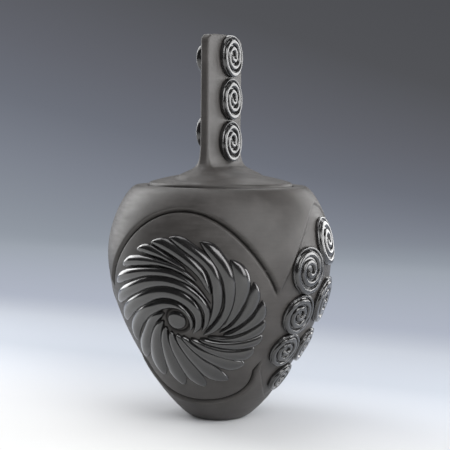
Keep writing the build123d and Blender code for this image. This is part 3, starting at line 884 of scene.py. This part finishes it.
# Near the slab the columns leave at right angles to its outline, and bend towards the edge later
straight_out = outline[None] + outward[None] * (blend * STRAIGHT_REACH)
to_edge = outline[None] + (rim - outline)[None] * blend
paths = straight_out * (1 - blend) ** 2 + to_edge * (1 - (1 - blend) ** 2)
off_core = np.linalg.norm(paths - np.clip(paths, -SLAB_CORE, SLAB_CORE), axis=-1)
spread = np.maximum(off_core - SLAB_CORNER, 0.0)
levels = lid_height(spread, np.linalg.norm(paths, axis=-1))
for flat, level in zip(paths, levels):
    rows.append(np.column_stack([flat, level]))

# %% The lid's rounded edge and scraped underside close the grid
edge_level = float(levels[-1].mean())
rounded_edge = [(LID_RADIUS - 0.9, edge_level - 0.5), (LID_RADIUS - 0.25, edge_level - 1.3),
                (LID_RADIUS, edge_level - 2.3), (LID_RADIUS, SEAT_LEVEL + 1.8),
                (LID_RADIUS - 0.5, SEAT_LEVEL + 0.6)]
underside = [(LID_RADIUS - 1.8, SEAT_LEVEL), (49.5, SEAT_LEVEL), (46.0, SEAT_LEVEL + 1.0),
             (36.0, SEAT_LEVEL + 3.8), (24.0, SEAT_LEVEL + 6.2), (12.0, SEAT_LEVEL + 7.3),
             (0.0, SEAT_LEVEL + 7.5)]
for radius, level in rounded_edge + underside:
    rows.append(np.column_stack([edge_direction * radius, np.full(len(outline), level)]))

lid_points, lid_faces = closed_grid(along_axes(0.0, np.stack(rows), FACE_OUT, WIDTH_BACK, UP))
lid_inside = np.arange(len(lid_faces)) // len(outline) >= len(rows) - len(underside)
clay_piece("domed_lid", [(lid_points, lid_faces)], [satin, inner], "lid",
           ["lid_cap", "lid_handle"], lid_inside)

# %% Coils on the handle
HANDLE_DISC_DIAMETER = 36.0
# Height as a share of the slab's over the dome, place as a share of its width, and size
RIGHT_COILS = [(0.845, 0.11, 1.0), (0.530, 0.11, 1.0), (0.215, 0.11, 1.0)]
LEFT_COILS = [(0.820, -0.28, 0.70), (0.535, 0.05, 0.94), (0.285, -0.24, 0.82)]
for side_name, side, table in (("right", 1, RIGHT_COILS), ("left", -1, LEFT_COILS)):
    grids = []
    for share, back, size in table:
        middle = (FACE_OUT * side * HALF_THICK + WIDTH_BACK * back * 2 * HALF_WIDTH
                  + UP * (CAP_TOP + share * (HANDLE_TOP - CAP_TOP)))
        for shape in coil_shapes(HANDLE_DISC_DIAMETER * size, COIL_RISE_HANDLE):
            grids.append(closed_grid(
                along_axes(middle, shape, WIDTH_BACK * side, UP, FACE_OUT * side)))
    clay_piece(f"handle_{side_name}_coils", grids, [polished], "lid",
               [f"handle_{side_name}_spiral_{n}" for n in range(1, 4)])

# %% [markdown]
# ## Solids that stay as they are
#
# The seat inside the mouth and the ring under the lid are plain turned rings, so their solids
# stay and only take the scraped clay.

# %% Scraped clay on the hidden rings
for name in ("lid_seat", "lid_locating_ring"):
    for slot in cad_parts[name].material_slots:
        slot.material = inner
print("scraped clay on the seat and the locating ring")

# %% [markdown]
# ## The studio
#
# The jar stands on a pale sheet that sweeps up behind it. Soft boxes stand to the left and right,
# in front, above and behind, and cards lower down throw light onto its flanks. The sheet's colour
# carries painted light: it darkens towards the back and to the right, as a sheet does that runs
# out of the light, and further back it glows. Lamps alone could grade it so, but every change to
# them would also show in the polished ribs, so the sheet's colour does it.

# %% The sweeping sheet
FRONT_END, BEND_START, BEND_RADIUS, SHEET_TOP, HALF_SHEET = -1600, 1500, 900, 3200, 3200


def sheet_line(count):
    """The sheet's line as distance and height: flat to the bend, a quarter turn, then upright."""
    floor = np.stack([np.linspace(FRONT_END, BEND_START, 8), np.zeros(8)], -1)
    angle = np.linspace(0, np.pi / 2, count)[1:]
    bend = np.stack([BEND_START + BEND_RADIUS * np.sin(angle),
                     BEND_RADIUS - BEND_RADIUS * np.cos(angle)], -1)
    wall = np.stack([np.full(4, float(BEND_START + BEND_RADIUS)),
                     np.linspace(BEND_RADIUS, SHEET_TOP, 5)[1:]], -1)
    return np.vstack([floor, bend, wall])


# The sheet is square to the camera, which stands round to the right of the jar's front
CAMERA_AZIMUTH = math.radians(20.5)
away = np.array([-math.sin(CAMERA_AZIMUTH), math.cos(CAMERA_AZIMUTH), 0.0])
right = np.array([math.cos(CAMERA_AZIMUTH), math.sin(CAMERA_AZIMUTH), 0.0])
sheet = sheet_line(24)
sides = np.linspace(-HALF_SHEET, HALF_SHEET, 5)
sheet_grid = (sheet[:, None, 0, None] * away + sides[None, :, None] * right
              + sheet[:, None, 1, None] * UP)
sheet_faces = grid_faces(len(sheet), len(sides), False)[:, ::-1]
sheet_mesh = welded_mesh("paper_sheet", [(sheet_grid.reshape(-1, 3), sheet_faces)], [], None)
sheet_object = scene_object("paper_sheet", sheet_mesh)
print("paper sheet", len(sheet_mesh.polygons), "faces")

# %% The sheet's colour, painted light that darkens further back and to the right
# Travel is how far back a point lies plus its height plus half its place to the right, in metres
paper = empty_material("graded paper")
tree = paper.node_tree
place = node(tree, "TexCoord").outputs["Object"]
depth_place = node(tree, "VectorMath", {"operation": "DOT_PRODUCT"}, {0: place, 1: tuple(away)})
split = node(tree, "SeparateXYZ", None, {0: place})
sideways = node(tree, "VectorMath", {"operation": "DOT_PRODUCT"}, {0: place, 1: tuple(0.5 * right)})
climb = node(tree, "Math", {"operation": "ADD"},
             {0: depth_place.outputs["Value"], 1: split.outputs["Z"]})
travel = node(tree, "Math", {"operation": "ADD"}, {0: climb, 1: sideways.outputs["Value"]})
ramp_in = node(tree, "MapRange", None, {"Value": travel, "From Min": -0.4, "From Max": 4.4})
ramp = node(tree, "ValToRGB", None, {"Fac": ramp_in})
# Painted light: the stops darken the sheet towards the back and the right, as light falls off
# there. The dip at 0.124, darker than the stop after it, is painted shade on the floor just behind
# the jar.
painted_light_stops = [(0.00, "#e6e6e4"), (0.052, "#d8d8d7"), (0.08, "#d1d2d4"), (0.10, "#c6c9ce"),
         (0.124, "#b4b9c1"), (0.165, "#bcc1ca"), (0.199, "#b0b6c4"), (0.34, "#9da4ae"),
         (0.377, "#9299a3"), (0.493, "#7c818c"), (0.558, "#6c707a"), (0.62, "#62646c"),
         (0.708, "#525357"), (1.00, "#3c3d40")]
for end in (0, -1):
    position, colour = painted_light_stops[end]
    ramp.color_ramp.elements[end].position = position
    ramp.color_ramp.elements[end].color = linear(colour)
for position, colour in painted_light_stops[1:-1]:
    ramp.color_ramp.elements.new(position).color = linear(colour)
# Painted light: further back the sheet glows in its own colour, so that camera and gloss see it
# evenly lit
matte = node(tree, "BsdfDiffuse", None, {"Color": ramp})
glow = node(tree, "Emission", None, {"Color": ramp})
rays = node(tree, "LightPath")
seen = node(tree, "Math", {"operation": "MAXIMUM"},
            {0: rays.outputs["Is Camera Ray"], 1: rays.outputs["Is Glossy Ray"]})
far = node(tree, "MapRange", {"interpolation_type": "SMOOTHSTEP"},
           {"Value": travel, "From Min": 0.05, "From Max": 0.6})
share = node(tree, "Math", {"operation": "MULTIPLY"}, {0: seen, 1: far})
blended = node(tree, "MixShader", None, {0: share, 1: matte, 2: glow})
node(tree, "OutputMaterial", None, {"Surface": blended})
sheet_mesh.materials.append(paper)

# %% Soft boxes and cards
def soft_box(name, place, aim_height, width, height, power):
    """A rectangular area light, in metres and watts, turned to face the jar's axis."""
    lamp = bpy.data.lights.new(name, "AREA")
    lamp.shape = "RECTANGLE"
    lamp.size, lamp.size_y, lamp.energy = width, height, power
    lamp_object = scene_object(name, lamp)
    lamp_object.location = place
    facing = Vector((0.0, 0.0, aim_height)) - Vector(place)
    lamp_object.rotation_euler = facing.to_track_quat("-Z", "Y").to_euler()


soft_box("left soft box", (-1.08, 0.29, 1.15), 0.15, 1.0, 1.0, 11)
soft_box("right soft box", (1.1, -0.35, 0.6), 0.15, 0.5, 0.9, 7)
soft_box("middle right card", (1.02, 0.47, 0.31), 0.15, 0.5, 0.58, 6)
soft_box("front soft box", (0.85, -0.85, 1.1), 0.12, 0.7, 0.7, 7)
soft_box("back soft box", (-0.3, 1.1, 1.05), 0.22, 0.8, 0.5, 3)
soft_box("top soft box", (-0.15, 0.1, 1.6), 0.1, 1.0, 0.8, 4.5)
soft_box("low left card", (-0.89, 0.2, 0.4), 0.17, 0.4, 0.6, 3.6)
soft_box("low right card", (0.52, 1.05, 0.5), 0.25, 0.6, 0.8, 5)

# %% The room's light, darker where gloss mirrors it
world = bpy.data.worlds.new("dim room")
bpy.context.scene.world = world
world.use_nodes = True
world.node_tree.nodes.clear()
room = node(world.node_tree, "Background", None, {"Color": linear("#d8dade"), "Strength": 0.76})
dark_room = node(world.node_tree, "Background", None, {"Color": linear("#1e2023"), "Strength": 1.0})
world_rays = node(world.node_tree, "LightPath")
world_mix = node(world.node_tree, "MixShader", None,
                 {0: world_rays.outputs["Is Glossy Ray"], 1: room, 2: dark_room})
node(world.node_tree, "OutputWorld", None, {"Surface": world_mix})

# %% [markdown]
# ## The camera
#
# The photograph looks slightly down on the jar from just under a metre away, about 20 degrees
# round to the right of its front. A long lens keeps the slab handle upright in the frame. A
# constraint could aim the camera, but its roll and shift are easier to fit as plain numbers.

# %% The camera at the photograph's angle
# Metres from the jar's axis and above the floor, then radians
DISTANCE, CAMERA_HEIGHT = 0.952, 0.250
PITCH, ROLL = math.radians(4.7), 0.009
# The photograph's width, focal length and shift in its own pixels, and the sensor in millimetres
PHOTO_WIDTH, FOCAL_LENGTH, SHIFT = 450.0, 1067.0, 4.8
SENSOR_WIDTH = 36.0
forward = away * math.cos(PITCH) - UP * math.sin(PITCH)
level_up = np.cross(right, forward)
camera_right = math.cos(ROLL) * right + math.sin(ROLL) * level_up
camera_up = math.cos(ROLL) * level_up - math.sin(ROLL) * right
camera_data = bpy.data.cameras.new("photo camera")
camera_data.sensor_width = SENSOR_WIDTH
camera_data.lens = FOCAL_LENGTH / PHOTO_WIDTH * SENSOR_WIDTH
camera_data.shift_x = SHIFT / PHOTO_WIDTH
camera_data.clip_end = 20.0
camera = scene_object("photo camera", camera_data)
turned_axes = Matrix((camera_right, camera_up, -forward)).transposed().to_4x4()
turned_axes.translation = CAMERA_HEIGHT * UP - DISTANCE * away
camera.matrix_world = turned_axes
bpy.context.scene.camera = camera
bpy.context.scene.view_settings.view_transform = "Standard"
print("camera", [round(part, 3) for part in turned_axes.translation])
